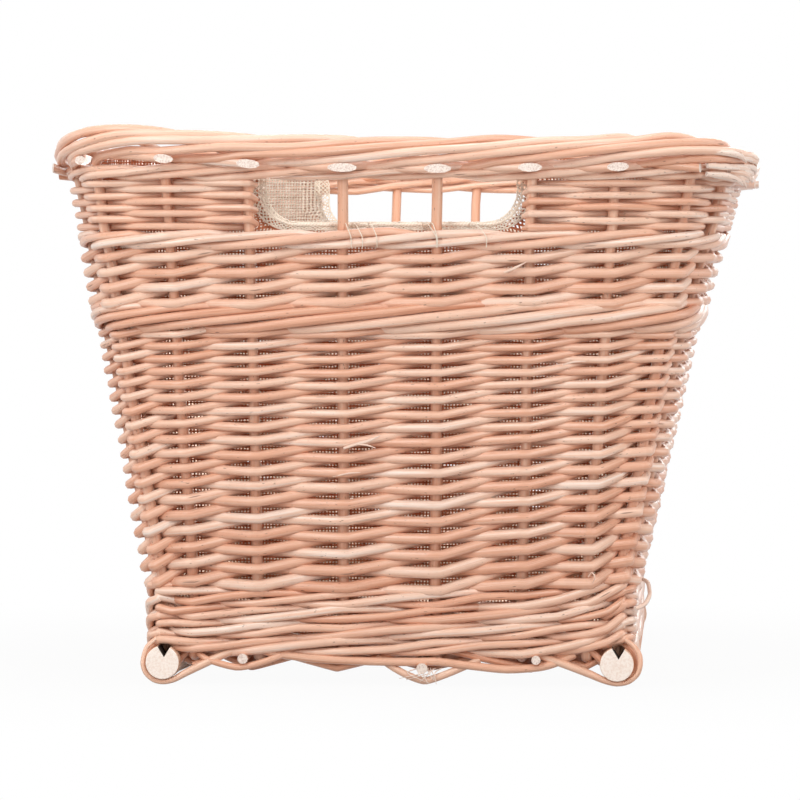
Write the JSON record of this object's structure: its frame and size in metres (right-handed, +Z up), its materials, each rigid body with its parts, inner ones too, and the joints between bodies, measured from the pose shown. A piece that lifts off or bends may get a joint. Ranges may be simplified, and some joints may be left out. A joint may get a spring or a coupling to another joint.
{
  "type": "wicker storage basket",
  "caption": "Rectangular willow storage basket with flared walls, rolled border, hand holes in both ends, skid poles under a woven base and a hessian liner",
  "frame": {"origin": "on the floor, under the centre of the base", "axes": "+Z up, Y along the basket with a hand hole at each end, X across it"},
  "size_m": [0.4836, 0.6068, 0.37],
  "materials": {
    "willow": "satin steamed willow rod",
    "base_willow": "satin, slightly soiled",
    "pole_wood": "matte, peeled pole",
    "hessian": "coarse plain-woven jute"
  },
  "bodies": {
    "root": {"left_base_pole": "pole_wood", "right_base_pole": "pole_wood", "base_stick_1": "base_willow", "base_stick_2": "base_willow", "base_stick_3": "base_willow", "base_stick_4": "base_willow", "base_weave": "base_willow", "front_stake_1": "willow", "front_stake_2": "willow", "front_stake_3": "willow", "front_stake_4": "willow", "front_stake_5": "willow", "front_stake_6": "willow", "rear_stake_1": "willow", "rear_stake_2": "willow", "rear_stake_3": "willow", "rear_stake_4": "willow", "rear_stake_5": "willow", "rear_stake_6": "willow", "left_stake_1": "willow", "left_stake_2": "willow", "left_stake_3": "willow", "left_stake_4": "willow", "left_stake_5": "willow", "left_stake_6": "willow", "left_stake_7": "willow", "left_stake_8": "willow", "right_stake_1": "willow", "right_stake_2": "willow", "right_stake_3": "willow", "right_stake_4": "willow", "right_stake_5": "willow", "right_stake_6": "willow", "right_stake_7": "willow", "right_stake_8": "willow", "front_left_corner_stake": "willow", "front_right_corner_stake": "willow", "rear_left_corner_stake": "willow", "rear_right_corner_stake": "willow", "upsett_wale": "willow", "lower_siding": "willow", "middle_wale": "willow", "upper_siding": "willow", "hand_hole_sill_wale": "willow", "left_hand_hole_siding": "willow", "right_hand_hole_siding": "willow", "top_wale": "willow", "rolled_border": "willow", "hessian_liner": "hessian", "front_hand_hole_hem": "hessian", "rear_hand_hole_hem": "hessian"}
  },
  "joints": []
}
